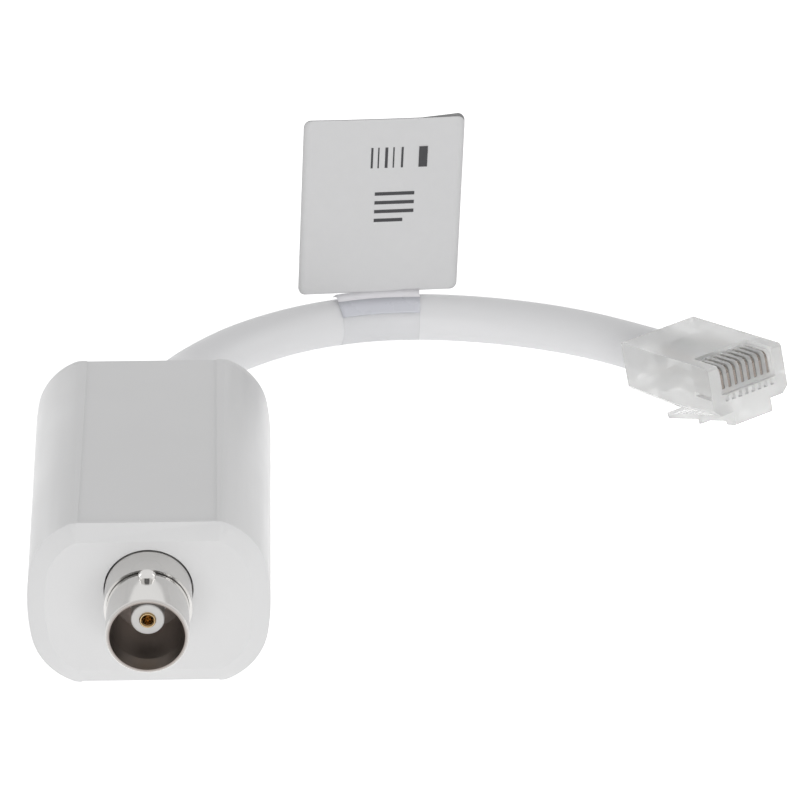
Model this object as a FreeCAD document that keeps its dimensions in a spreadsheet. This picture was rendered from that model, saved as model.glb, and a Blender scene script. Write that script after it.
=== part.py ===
import FreeCAD, Part
import math
import os
import Sketcher
from FreeCAD import Placement, Rotation, Vector

# Ethernet over coax converter: a small housing with a coaxial jack in front and a short cable with a plug.
# Frame: millimetres, +Z up, the jack faces -Y, the housing stands on Z = 0. The origin is under the middle of
# the housing with its jack. Each body is drawn with the front face at its own Y = 0 and then moved by FRONT.

doc = FreeCAD.newDocument("EthernetOverCoaxConverter")

# Driving dimensions

SIZES = [
    ("housing_width", 28.7, "Housing across the widest part of its bowed sides, at the front"),
    ("housing_height", 21.25, "Housing height"),
    ("housing_length", 46.5, "Housing from its front face to its back face"),
    ("draft", 0.54, "How much further out each side stands at the back than at the front"),
    ("foot_radius", 2.4, "Tight arcs beside the flat top and bottom"),
    ("corner_radius", 8.1, "Wide arcs of the corners"),
    ("corner_place", 6.0, "Centres of the wide arcs, from the middle of the housing"),
    ("bow_radius", 26.4, "Bowed sides of the housing's section"),
    ("wall", 1.7, "Wall of the housing's sides"),
    ("front_wall", 2.0, "Wall behind the front face"),
    ("bevel_depth", 0.95, "Front bevel along the length"),
    ("bevel_width", 2.1, "Front bevel across the face"),
    ("rear_bevel", 0.8, "Bevel round the back face"),
    ("recess_width", 16.3, "Label recess on the top and the bottom"),
    ("recess_depth", 0.16, "Depth of the label recess"),
    ("recess_start", 1.4, "Start of the top recess, behind the front face"),
    ("trim", 0.02, "Stock on the shell's sections, cut off to leave true planes above and below"),
    ("cover_thickness", 1.6, "Rear cover, the part of it that shows"),
    ("cover_lip", 1.2, "Rear cover, wall of the lip inside the shell"),
    ("cover_gap", 0.1, "Gap around the lip"),
    ("axis_height", 12.8, "Jack axis above the surface that the housing stands on"),
    ("jack_reach", 11.4, "Jack in front of the front face"),
    ("jack_barrel", 9.7, "Outer diameter of the jack's front barrel"),
    ("jack_neck", 10.35, "Outer diameter of the jack's neck"),
    ("jack_bore", 8.1, "Bore that receives the mating sleeve"),
    ("jack_lugs", 11.0, "Distance across the two bayonet lugs"),
    ("jack_lug", 2.0, "Diameter of a bayonet lug"),
    ("jack_hole", 10.6, "Hole for the jack in the front face"),
    ("contact_outer", 1.95, "Centre contact, outer diameter"),
    ("contact_bore", 1.3, "Centre contact, socket diameter"),
    ("insulator_nose", 3.9, "Insulator around the centre contact"),
    ("board_top", 4.8, "Upper face of the circuit board"),
    ("board_thickness", 1.6, "Circuit board thickness"),
    ("board_width", 21.0, "Circuit board width"),
    ("board_length", 36.0, "Circuit board length"),
    ("cable_diameter", 6.4, "Round network cable"),
    ("cable_height", 10.5, "Cable axis where it leaves the cover"),
    ("lead_diameter", 0.95, "Insulated conductor"),
    ("plug_length", 21.46, "Plug along its axis"),
    ("plug_width", 11.68, "Plug across its contacts"),
    ("contact_pitch", 1.02, "Distance between neighbouring plug contacts"),
    ("blade_thickness", 0.34, "Plug contact blade"),
    ("leaf_width", 22.2, "Flag label, leaf width"),
    ("leaf_height", 25.5, "Flag label, leaf height"),
    ("neck_width", 11.8, "Flag label, neck and wrap width"),
    ("leaf_lean", 1.0, "Flag label, lean towards the plug, in degrees"),
    ("sheet_thickness", 0.3, "Flag label, two bonded layers"),
]

sheet = doc.addObject("Spreadsheet::Sheet", "Sizes")
for row, (alias, amount, note) in enumerate(SIZES, start=1):
    sheet.set(f"A{row}", note)
    sheet.set(f"B{row}", str(amount))
    sheet.setAlias(f"B{row}", alias)
doc.recompute()
size = {alias: amount for alias, amount, note in SIZES}

FRONT = Placement(Vector(0, -18, 0), Rotation())

# The cable's route, chosen by hand: inside the housing, out through the cover, round to the plug
ROUTE = [
    (0.0, 22.5, 10.5), (0.0, 34.0, 10.5), (1.4, 44.8, 8.8), (4.9, 55.4, 6.7), (11.1, 64.7, 5.8),
    (19.9, 71.6, 5.4), (30.6, 75.3, 5.2), (42.9, 75.2, 4.9), (55.4, 70.4, 5.3), (65.0, 61.2, 6.7),
    (70.2, 51.4, 9.0),
]
LABEL_POINT = 6
PLUG_GRIP = 6.0
PLUG_ROLL = 5.7
BEND_SHARE = 0.45
WIRES = 8


# Sketch and feature helpers

def number(expression):
    """The value of an expression over the sheet, or the number itself."""
    if isinstance(expression, str):
        return float(sheet.evalExpression(expression.replace("Sizes.", "")))
    return float(expression)


def bind(item, name, expression):
    """Set a property to a number, or bind it to an expression over the sheet."""
    if isinstance(expression, str):
        item.setExpression(name, expression)
    else:
        setattr(item, name, expression)


def new_body(label):
    body = doc.addObject("PartDesign::Body", label)
    body.Label = label
    body.Placement = FRONT
    return body


def origin_plane(body, role):
    return [item for item in body.Origin.OriginFeatures if item.Role == role][0]


def new_sketch(body, role, name, away=0.0, right=0.0, up=0.0):
    """A sketch on one of the body's origin planes, moved along its normal and within the plane."""
    sketch = body.newObject("Sketcher::SketchObject", name)
    sketch.AttachmentSupport = [(origin_plane(body, role), "")]
    sketch.MapMode = "FlatFace"
    sketch.AttachmentOffset = Placement(Vector(number(right), number(up), number(away)), Rotation())
    for axis, expression in (("x", right), ("y", up), ("z", away)):
        if isinstance(expression, str):
            sketch.setExpression("AttachmentOffset.Base." + axis, expression)
    return sketch


def hold(sketch, constraint, expression):
    """Add a dimension to a sketch and bind it where it comes from the sheet."""
    index = sketch.addConstraint(constraint)
    if isinstance(expression, str):
        sketch.setExpression(f"Constraints[{index}]", expression)


def outline(sketch, points):
    """A closed outline of straight lines, each held in place."""
    first = sketch.GeometryCount
    count = len(points)
    for index in range(count):
        start = Vector(*points[index], 0)
        end = Vector(*points[(index + 1) % count], 0)
        sketch.addGeometry(Part.LineSegment(start, end), False)
    for index in range(count):
        sketch.addConstraint(Sketcher.Constraint("Block", first + index))
    return first


def rectangle(sketch, left, low, width, height):
    """A rectangle with its lower left corner and its sides held by dimensions."""
    x, y, w, h = number(left), number(low), number(width), number(height)
    corners = [Vector(x, y, 0), Vector(x + w, y, 0), Vector(x + w, y + h, 0), Vector(x, y + h, 0)]
    first = sketch.GeometryCount
    for index in range(4):
        sketch.addGeometry(Part.LineSegment(corners[index], corners[(index + 1) % 4]), False)
    for index in range(4):
        sketch.addConstraint(Sketcher.Constraint("Coincident", first + index, 2, first + (index + 1) % 4, 1))
    for index in (0, 2):
        sketch.addConstraint(Sketcher.Constraint("Horizontal", first + index))
        sketch.addConstraint(Sketcher.Constraint("Vertical", first + index + 1))
    hold(sketch, Sketcher.Constraint("DistanceX", first, 1, first, 2, w), width)
    hold(sketch, Sketcher.Constraint("DistanceY", first + 1, 1, first + 1, 2, h), height)
    hold(sketch, Sketcher.Constraint("DistanceX", -1, 1, first, 1, x), left)
    hold(sketch, Sketcher.Constraint("DistanceY", -1, 1, first, 1, y), low)


def circle(sketch, diameter, x=0.0, y=0.0):
    """A circle with its diameter held by a dimension."""
    centre = Vector(x, y, 0)
    index = sketch.addGeometry(Part.Circle(centre, Vector(0, 0, 1), number(diameter) / 2), False)
    hold(sketch, Sketcher.Constraint("Diameter", index, number(diameter)), diameter)
    if x == 0 and y == 0:
        sketch.addConstraint(Sketcher.Constraint("Coincident", index, 3, -1, 1))
    else:
        sketch.addConstraint(Sketcher.Constraint("DistanceX", -1, 1, index, 3, x))
        sketch.addConstraint(Sketcher.Constraint("DistanceY", -1, 1, index, 3, y))


def cushion(sketch, inset, widening="0"):
    """The housing's section: a flat top and bottom, a tight and a wide arc at each corner, and bowed sides.

    The inset moves all of it in, and the widening moves its sides out.
    """
    half_height = f"(Sizes.housing_height / 2 - {inset})"
    foot = f"max(Sizes.foot_radius - {inset}; 0.3)"
    corner = f"(Sizes.corner_radius - {inset})"
    bow = f"(Sizes.bow_radius - {inset})"
    bow_centre = f"(Sizes.housing_width / 2 + {widening} - Sizes.bow_radius)"
    corner_centre = f"(Sizes.corner_place + {widening})"
    top, small, r, big = number(half_height), number(foot), number(corner), number(bow)
    far, near = number(bow_centre), number(corner_centre)
    rise = math.sqrt((big - r) ** 2 - (near - far) ** 2)
    tilt = math.asin(rise / (big - r))
    drop = top - small - rise
    flat = near + math.sqrt((r - small) ** 2 - drop ** 2)
    lean = math.acos(drop / (r - small))
    up = Vector(0, 0, 1)

    def arc(x, y, radius, first, last):
        return Part.ArcOfCircle(Part.Circle(Vector(x, y, 0), up, radius), first, last)

    quarter = math.pi / 2
    half = math.pi
    parts = [
        Part.LineSegment(Vector(-flat, -top, 0), Vector(flat, -top, 0)),
        arc(flat, small - top, small, -quarter, lean - quarter),
        arc(near, -rise, r, lean - quarter, -tilt),
        arc(far, 0, big, -tilt, tilt),
        arc(near, rise, r, tilt, quarter - lean),
        arc(flat, top - small, small, quarter - lean, quarter),
        Part.LineSegment(Vector(flat, top, 0), Vector(-flat, top, 0)),
        arc(-flat, top - small, small, quarter, quarter + lean),
        arc(-near, rise, r, quarter + lean, half - tilt),
        arc(-far, 0, big, half - tilt, half + tilt),
        arc(-near, -rise, r, half + tilt, half + quarter - lean),
        arc(-flat, small - top, small, half + quarter - lean, half + quarter),
    ]
    sketch.addGeometry(parts, False)
    for index in range(12):
        sketch.addConstraint(Sketcher.Constraint("Tangent", index, 2, (index + 1) % 12, 1))
    for first, others in ((1, (5, 7, 11)), (2, (4, 8, 10)), (3, (9,))):
        for index in others:
            sketch.addConstraint(Sketcher.Constraint("Equal", first, index))
    sketch.addConstraint(Sketcher.Constraint("PointOnObject", 3, 3, -1))
    sketch.addConstraint(Sketcher.Constraint("Symmetric", 3, 3, 9, 3, -1, 1))
    hold(sketch, Sketcher.Constraint("Radius", 1, small), foot)
    hold(sketch, Sketcher.Constraint("Radius", 2, r), corner)
    hold(sketch, Sketcher.Constraint("Radius", 3, big), bow)
    hold(sketch, Sketcher.Constraint("DistanceX", -1, 1, 3, 3, far), bow_centre)
    for index, sign in ((2, ""), (4, ""), (8, "-"), (10, "-")):
        place = sign + corner_centre
        hold(sketch, Sketcher.Constraint("DistanceX", -1, 1, index, 3, number(place)), place)
    for index, sign in ((0, "-"), (6, "")):
        height = sign + half_height
        sketch.addConstraint(Sketcher.Constraint("Horizontal", index))
        hold(sketch, Sketcher.Constraint("DistanceY", -1, 1, index, 1, number(height)), height)


def extrude(kind, body, sketch, length, reverse=False, both_sides=False, name=None):
    """A pad or a pocket of a sketch."""
    feature = body.newObject("PartDesign::" + kind, name or sketch.Name + "_" + kind.lower())
    feature.Profile = sketch
    bind(feature, "Length", length)
    feature.Reversed = reverse
    feature.SideType = "Symmetric" if both_sides else "One side"
    sketch.Visibility = False
    return feature


def pad(body, sketch, length, reverse=False, both_sides=False):
    return extrude("Pad", body, sketch, length, reverse, both_sides)


def pocket(body, sketch, length, reverse=False, both_sides=False):
    """Cut a sketch out of the body and make sure that something was cut."""
    doc.recompute()
    before = body.Shape.Volume
    feature = extrude("Pocket", body, sketch, length, reverse, both_sides)
    doc.recompute()
    if body.Shape.Volume > before - 1e-6:
        raise RuntimeError(feature.Name + " cuts nothing")
    return feature


def loft(kind, body, sketches):
    """A solid or a cut that runs straight from each section to the next."""
    feature = body.newObject("PartDesign::" + kind, sketches[0].Name + "_loft")
    feature.Profile = sketches[0]
    feature.Sections = sketches[1:]
    feature.Ruled = True
    for sketch in sketches:
        sketch.Visibility = False
    return feature


def turn(kind, body, sketch):
    """A revolution or a groove of a sketch around its horizontal axis."""
    feature = body.newObject("PartDesign::" + kind, sketch.Name + "_" + kind.lower())
    feature.Profile = sketch
    feature.ReferenceAxis = (sketch, ["H_Axis"])
    feature.Angle = 360
    sketch.Visibility = False
    return feature


def edge_names(shape, chosen):
    """The names of the edges that a test on each edge chooses."""
    return [f"Edge{index}" for index, edge in enumerate(shape.Edges, start=1) if chosen(edge)]


def dress(kind, body, chosen, amount):
    """A fillet or a chamfer on the chosen edges of the body's last feature."""
    doc.recompute()
    tip = body.Tip
    feature = body.newObject("PartDesign::" + kind, body.Name + "_" + kind.lower())
    feature.Base = (tip, edge_names(tip.Shape, chosen))
    bind(feature, "Radius" if kind == "Fillet" else "Size", amount)
    return feature


def repeat(body, feature, sketch, axis, length, count, name):
    """The same feature in a row, as a linear pattern."""
    row = body.newObject("PartDesign::LinearPattern", name)
    row.Originals = [feature]
    row.Direction = (sketch, [axis])
    bind(row, "Length", length)
    row.Occurrences = count
    body.Tip = row
    return row


# Routes of the cable and of the conductors

def route_wire(points, report=False):
    """Straight runs joined by tangent arcs, as one wire."""
    corners = [Vector(*point) for point in points]
    edges = []
    start = corners[0]
    radii = []
    for index in range(1, len(corners) - 1):
        back = corners[index - 1] - corners[index]
        ahead = corners[index + 1] - corners[index]
        half_turn = (math.pi - back.getAngle(ahead)) / 2
        tangent = BEND_SHARE * min(back.Length, ahead.Length)
        radius = tangent / math.tan(half_turn)
        radii.append(radius)
        back.normalize()
        ahead.normalize()
        inward = back + ahead
        inward.normalize()
        first = corners[index] + back * tangent
        last = corners[index] + ahead * tangent
        middle = corners[index] + inward * (radius / math.cos(half_turn) - radius)
        edges.append(Part.LineSegment(start, first).toShape())
        edges.append(Part.Arc(first, middle, last).toShape())
        start = last
    edges.append(Part.LineSegment(start, corners[-1]).toShape())
    if report:
        print("cable bends, radius in mm:", ", ".join(f"{radius:.1f}" for radius in radii))
    return Part.Wire(edges)


def tube(label, wire, diameter):
    """A round solid swept along a wire, its diameter bound to the sheet."""
    spine = doc.addObject("Part::Feature", label + "_route")
    spine.Shape = wire
    ring = doc.addObject("Part::Circle", label + "_section")
    bind(ring, "Radius", f"({diameter}) / 2")
    first = wire.OrderedEdges[0]
    direction = first.tangentAt(first.FirstParameter)
    ring.Placement = Placement(first.valueAt(first.FirstParameter), Rotation(Vector(0, 0, 1), direction))
    sweep = doc.addObject("Part::Sweep", label)
    sweep.Label = label
    sweep.Sections = [ring]
    sweep.Spine = (spine, [f"Edge{index}" for index in range(1, len(wire.Edges) + 1)])
    sweep.Solid = True
    sweep.Frenet = False
    doc.recompute()
    expected = wire.Length * math.pi * number(diameter) ** 2 / 4
    if abs(sweep.Shape.Volume / expected - 1) > 0.02:
        raise RuntimeError(label + " isn't a full tube")
    return sweep


def conductor(label, points):
    """An insulated conductor: an octagonal section along straight runs with mitred corners."""
    spine = doc.addObject("Part::Feature", label + "_route")
    spine.Shape = Part.makePolygon([Vector(*point) for point in points])
    section = doc.addObject("Part::RegularPolygon", label + "_section")
    section.Polygon = 8
    bind(section, "Circumradius", "Sizes.lead_diameter / 2")
    direction = Vector(*points[1]) - Vector(*points[0])
    section.Placement = Placement(Vector(*points[0]), Rotation(Vector(0, 0, 1), direction))
    sweep = doc.addObject("Part::Sweep", label)
    sweep.Label = label
    sweep.Sections = [section]
    sweep.Spine = (spine, [f"Edge{index}" for index in range(1, len(points))])
    sweep.Transition = "Right corner"
    sweep.Solid = True
    sweep.Frenet = False
    return sweep


# Housing

SNAP_PLACE = 7.2
SNAP_LOW = 7.5
SNAP_HEIGHT = 6.0


def cut_label_recesses(body):
    """The shallow recesses: along the whole bottom, and along the top from behind the front bevel."""
    left = "-Sizes.recess_width / 2"
    low = new_sketch(body, "XZ_Plane", "bottom_recess")
    rectangle(low, left, "-Sizes.recess_depth", "Sizes.recess_width", "Sizes.recess_depth * 2")
    pocket(body, low, "Sizes.housing_length * 3", both_sides=True)
    high = new_sketch(body, "XZ_Plane", "top_recess", "-Sizes.recess_start")
    top = "Sizes.housing_height - Sizes.recess_depth"
    rectangle(high, left, top, "Sizes.recess_width", "Sizes.recess_depth * 2")
    pocket(body, high, "Sizes.housing_length")


def make_housing_shell():
    """A cup that is open at the back, with bowed and drafted sides and a bevelled front face."""
    body = new_body("housing_shell")
    middle = "Sizes.housing_height / 2"
    seam = "Sizes.cover_thickness - Sizes.housing_length"
    face = new_sketch(body, "XZ_Plane", "shell_face", 0, 0, middle)
    cushion(face, "Sizes.bevel_width")
    front = new_sketch(body, "XZ_Plane", "shell_front", "-Sizes.bevel_depth", 0, middle)
    cushion(front, "(-Sizes.trim)")
    back = new_sketch(body, "XZ_Plane", "shell_back", seam, 0, middle)
    cushion(back, "(-Sizes.trim)", "Sizes.draft")
    loft("AdditiveLoft", body, [face, front, back])
    planes = new_sketch(body, "XZ_Plane", "shell_planes")
    for low in ("-Sizes.trim * 2", "Sizes.housing_height"):
        rectangle(planes, "-Sizes.housing_width / 2", low, "Sizes.housing_width", "Sizes.trim * 2")
    pocket(body, planes, "Sizes.housing_length * 3", both_sides=True)

    cavity_front = new_sketch(body, "XZ_Plane", "cavity_front", "-Sizes.front_wall", 0, middle)
    cushion(cavity_front, "Sizes.wall")
    cavity_back = new_sketch(body, "XZ_Plane", "cavity_back", seam, 0, middle)
    cushion(cavity_back, "Sizes.wall", "Sizes.draft")
    loft("SubtractiveLoft", body, [cavity_front, cavity_back])
    hole = new_sketch(body, "XZ_Plane", "jack_opening", up="Sizes.axis_height")
    circle(hole, "Sizes.jack_hole")
    pocket(body, hole, "Sizes.front_wall * 3", both_sides=True)
    cut_label_recesses(body)

    board_bottom = "Sizes.board_top - Sizes.board_thickness"
    rib_low = 1.0
    rib_width = 1.2
    rib_middle = 7.2
    hold_down = (9.9, 2.9, 1.1)
    ribs = new_sketch(body, "XZ_Plane", "board_ribs", "-Sizes.front_wall")
    for side in (-1, 1):
        rectangle(ribs, side * rib_middle - rib_width / 2, rib_low, rib_width, f"{board_bottom} - {rib_low}")
        inner, width, height = hold_down
        rectangle(ribs, inner if side > 0 else -inner - width, "Sizes.board_top", width, height)
    pad(body, ribs, "Sizes.board_length", reverse=True)

    grooves = new_sketch(body, "XZ_Plane", "snap_grooves", f"{SNAP_PLACE} + 0.2 - Sizes.housing_length")
    for side in (-1, 1):
        reach = "(Sizes.housing_width / 2 + Sizes.draft - Sizes.wall + 0.35)"
        left_edge = f"{reach} - 1.2" if side > 0 else f"-{reach}"
        rectangle(grooves, left_edge, SNAP_LOW - 0.3, 1.2, SNAP_HEIGHT + 0.6)
    pocket(body, grooves, 1.6)
    return body


def make_rear_cover():
    """A bevelled cap with a lip inside the shell, a collar for the cable and two snap tabs."""
    body = new_body("rear_cover")
    seam = "Sizes.cover_thickness - Sizes.housing_length"
    middle = "Sizes.housing_height / 2"
    plate = new_sketch(body, "XZ_Plane", "cover_plate", seam, 0, middle)
    cushion(plate, "0", "Sizes.draft")
    pad(body, plate, "Sizes.cover_thickness", reverse=True)
    back = size["housing_length"] - 1e-6
    dress("Chamfer", body, lambda edge: edge.BoundBox.YMin > back, "Sizes.rear_bevel")
    cut_label_recesses(body)

    lip = new_sketch(body, "XZ_Plane", "cover_lip", seam, 0, middle)
    cushion(lip, "(Sizes.wall + Sizes.cover_gap)", "Sizes.draft")
    pad(body, lip, 2.0)
    inside = new_sketch(body, "XZ_Plane", "lip_inside", seam, 0, middle)
    cushion(inside, "(Sizes.wall + Sizes.cover_gap + Sizes.cover_lip)", "Sizes.draft")
    pocket(body, inside, 3.0, reverse=True)

    collar = new_sketch(body, "XZ_Plane", "cable_collar", seam, 0, "Sizes.cable_height")
    circle(collar, "Sizes.cable_diameter + 3.2")
    pad(body, collar, 2.0)
    hole = new_sketch(body, "XZ_Plane", "cable_hole", "-Sizes.housing_length", 0, "Sizes.cable_height")
    circle(hole, "Sizes.cable_diameter + 0.2")
    pocket(body, hole, 20, both_sides=True)

    tabs = new_sketch(body, "XZ_Plane", "snap_tabs", seam)
    ridges = new_sketch(body, "XZ_Plane", "snap_ridges", f"{SNAP_PLACE} - Sizes.housing_length")
    for side in (-1, 1):
        face = "(Sizes.housing_width / 2 + Sizes.draft - Sizes.wall - 0.4)"
        rectangle(tabs, f"{face} - 1.1" if side > 0 else f"-{face}", SNAP_LOW, 1.1, SNAP_HEIGHT)
        rim = "(Sizes.housing_width / 2 + Sizes.draft - Sizes.wall + 0.2)"
        rectangle(ridges, f"{rim} - 1.2" if side > 0 else f"-{rim}", SNAP_LOW, 1.2, SNAP_HEIGHT)
    pad(body, tabs, SNAP_PLACE)
    pad(body, ridges, 1.2, reverse=True)
    return body


# Coaxial jack

def make_jack_shell():
    """Barrel with two bayonet lugs, neck, and the block and posts that stand on the board."""
    body = new_body("bnc_shell")
    mouth = -size["jack_reach"]
    barrel = size["jack_barrel"] / 2
    neck = size["jack_neck"] / 2
    step = mouth + 6.7
    groove = 0.2
    rim = 0.2
    block_front = size["front_wall"]
    profile = new_sketch(body, "YZ_Plane", "jack_profile", up="Sizes.axis_height")
    outline(profile, [
        (mouth, 0), (mouth, barrel - rim), (mouth + rim, barrel), (step - groove, barrel),
        (step - groove, barrel - groove), (step, barrel - groove), (step, neck),
        (block_front + 1, neck), (block_front + 1, 0),
    ])
    turn("Revolution", body, profile)

    lug_behind_mouth = 5.4
    lugs = new_sketch(body, "XY_Plane", "bayonet_lugs", "Sizes.axis_height", 0, mouth + lug_behind_mouth)
    circle(lugs, "Sizes.jack_lug")
    pad(body, lugs, "Sizes.jack_lugs", both_sides=True)
    top = size["axis_height"] + size["jack_lugs"] / 2 - 1e-6
    low = size["axis_height"] - size["jack_lugs"] / 2 + 1e-6
    dress("Chamfer", body, lambda edge: edge.BoundBox.ZMin > top or edge.BoundBox.ZMax < low, 0.25)

    block_width = 13.6
    block_top = 5.8
    block = new_sketch(body, "XZ_Plane", "jack_block", "-Sizes.front_wall")
    rectangle(
        block, -block_width / 2, "Sizes.board_top", block_width,
        f"Sizes.axis_height - Sizes.board_top + {block_top}",
    )
    pad(body, block, 9.0, reverse=True)
    posts = new_sketch(body, "XY_Plane", "jack_posts", "Sizes.board_top")
    for side in (-1, 1):
        circle(posts, 1.6, side * 5.1, 8.6)
    pad(body, posts, 2.3, reverse=True)

    bore = size["jack_bore"] / 2
    lead_in = 0.33
    lead_length = 2.0
    bore_end = -2.0
    small_bore = 2.45
    small_end = 9.4
    cut = new_sketch(body, "YZ_Plane", "jack_bore", up="Sizes.axis_height")
    outline(cut, [
        (mouth - 1, 0), (mouth - 1, bore + lead_in), (mouth, bore + lead_in), (mouth + lead_length, bore),
        (bore_end, bore), (bore_end, small_bore), (small_end, small_bore), (small_end, 0),
    ])
    turn("Groove", body, cut)
    passage = new_sketch(body, "XY_Plane", "leg_passage", "Sizes.board_top")
    circle(passage, 3.0, 0.0, 6.4)
    pocket(body, passage, "Sizes.axis_height - Sizes.board_top", reverse=True)
    return body


def make_jack_insulator():
    """White tube around the centre contact, thicker behind the bore."""
    body = new_body("bnc_insulator")
    nose = 4.1 - size["jack_reach"]
    contact = size["contact_outer"] / 2
    nose_radius = size["insulator_nose"] / 2
    profile = new_sketch(body, "YZ_Plane", "insulator_profile", up="Sizes.axis_height")
    outline(profile, [
        (nose, contact), (nose, nose_radius - 0.1), (nose + 0.1, nose_radius), (-2.0, nose_radius),
        (-2.0, 2.45), (9.4, 2.45), (9.4, contact),
    ])
    turn("Revolution", body, profile)
    passage = new_sketch(body, "XY_Plane", "insulator_leg_hole", "Sizes.axis_height")
    circle(passage, 1.0, 0.0, 6.4)
    pocket(body, passage, 5)
    return body


def make_jack_contact():
    """Gold-plated socket with its leg down to the board."""
    body = new_body("bnc_center_contact")
    face = 3.8 - size["jack_reach"]
    outer = size["contact_outer"] / 2
    bore = size["contact_bore"] / 2
    socket_end = face + 5.2
    profile = new_sketch(body, "YZ_Plane", "contact_profile", up="Sizes.axis_height")
    outline(profile, [
        (face, bore + 0.15), (face, outer - 0.1), (face + 0.1, outer), (7.2, outer), (7.2, 0),
        (socket_end + 0.3, 0), (socket_end, bore), (face + 0.15, bore),
    ])
    turn("Revolution", body, profile)
    leg = new_sketch(body, "XY_Plane", "contact_leg", "Sizes.axis_height")
    circle(leg, 1.0, 0.0, 6.4)
    pad(body, leg, "Sizes.axis_height - Sizes.board_top + 2.3", reverse=True)
    return body


# Circuit board and its components

def make_circuit_board():
    """The board, with holes for the jack's posts and leg."""
    body = new_body("circuit_board")
    panel = new_sketch(body, "XY_Plane", "board_panel", "Sizes.board_top")
    rectangle(panel, "-Sizes.board_width / 2", 2.1, "Sizes.board_width", "Sizes.board_length")
    pad(body, panel, "Sizes.board_thickness", reverse=True)
    holes = new_sketch(body, "XY_Plane", "board_holes", "Sizes.board_top")
    circle(holes, 1.2, 0.0, 6.4)
    for side in (-1, 1):
        circle(holes, 1.8, side * 5.1, 8.6)
    pocket(body, holes, "Sizes.board_thickness * 2", both_sides=True)
    return body


def make_block(label, x, y, width, length, height, edge):
    """A rectangular component that stands on the board, with a chamfered top."""
    body = new_body(label)
    base = new_sketch(body, "XY_Plane", label + "_base", "Sizes.board_top")
    rectangle(base, x - width / 2, y - length / 2, width, length)
    pad(body, base, height)
    top = size["board_top"] + height - 1e-6
    dress("Chamfer", body, lambda item: item.BoundBox.ZMin > top, edge)
    return body


def make_can(label, x, y, diameter, height):
    """A round component that stands on the board."""
    body = new_body(label)
    base = new_sketch(body, "XY_Plane", label + "_base", "Sizes.board_top")
    circle(base, diameter, x, y)
    pad(body, base, height)
    top = size["board_top"] + height - 1e-6
    dress("Chamfer", body, lambda item: item.BoundBox.ZMin > top, 0.3)
    return body


def make_components():
    """Transformer, chips, crystal, choke, arrester, rectifiers and capacitors."""
    make_block("line_transformer", -3.8, 17.2, 12.0, 9.2, 5.2, 0.4)
    make_block("surge_arrester", 6.6, 14.6, 4.6, 4.2, 4.2, 0.5)
    make_block("choke", 6.6, 20.2, 5.4, 5.4, 3.0, 0.6)
    make_block("modem_chip", -5.6, 26.4, 7.0, 7.0, 0.9, 0.1)
    make_block("crystal", 0.4, 25.0, 3.2, 5.0, 0.9, 0.15)
    make_block("power_chip", 0.6, 30.2, 4.0, 3.9, 1.5, 0.2)
    make_block("bridge_rectifier_1", -7.2, 31.8, 3.4, 3.0, 1.5, 0.2)
    make_block("bridge_rectifier_2", -3.3, 31.8, 3.4, 3.0, 1.5, 0.2)
    make_can("electrolytic_capacitor_1", 6.6, 26.2, 5.0, 5.4)
    make_can("electrolytic_capacitor_2", 6.6, 31.5, 5.0, 5.4)


def make_inner_leads():
    """The eight conductors from the end of the jacket down to the board, four over four."""
    jacket_end = ROUTE[0]
    pair_gap = 1.1
    pad_gap = 3.2
    for index in range(WIRES):
        column = index // 2 - 1.5
        upper = index % 2
        x = column * pair_gap
        z = jacket_end[2] + (upper - 0.5) * pair_gap
        pad_y = 16.6 if upper else 18.8
        points = [
            (x, jacket_end[1], z), (x, jacket_end[1] - 1.2, z), (column * pad_gap, pad_y, z),
            (column * pad_gap, pad_y, size["board_top"]),
        ]
        conductor(f"inner_lead_{index + 1}", points)


def make_cable_tie():
    """A strap round the jacket, behind the cover's collar, with its lock on top."""
    body = new_body("cable_tie")
    strap_width = 1.8
    strap = new_sketch(body, "XZ_Plane", "tie_strap", -40.95, 0, "Sizes.cable_height")
    circle(strap, "Sizes.cable_diameter + 2.2")
    pad(body, strap, strap_width, reverse=True)
    lock = new_sketch(body, "XZ_Plane", "tie_lock", -40.95, 0, "Sizes.cable_height")
    rectangle(lock, -1.8, "Sizes.cable_diameter / 2 + 0.5", 3.6, 2.8)
    pad(body, lock, strap_width, reverse=True)
    hole = new_sketch(body, "XZ_Plane", "tie_hole", -40.95, 0, "Sizes.cable_height")
    circle(hole, "Sizes.cable_diameter")
    pocket(body, hole, 10, both_sides=True)
    return body


# Plug, in a frame of its own: +X towards the nose, +Z towards the contacts, origin where the cable enters

TOP = 3.6
NOSE_LOW = -3.1
RIB_TOP = 3.15
BLADE_TOP = 2.95
BLADE_LOW = 0.15
SHELF = -0.45
WIRE_LEVEL = -0.35
FIELD_WIDTH = 8.5
FIELD_LENGTH = 5.6


def plug_place():
    """Where the plug lies: on the line of the route's last run."""
    before = Vector(*ROUTE[-2])
    last = Vector(*ROUTE[-1])
    heading = last - before
    heading.normalize()
    yaw = math.degrees(math.atan2(heading.y, heading.x))
    pitch = math.degrees(math.asin(heading.z))
    turned = Rotation(Vector(0, 0, 1), yaw) * Rotation(Vector(0, 1, 0), -pitch)
    turned = turned * Rotation(Vector(1, 0, 0), PLUG_ROLL)
    return Placement(last - heading * PLUG_GRIP, turned)


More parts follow.
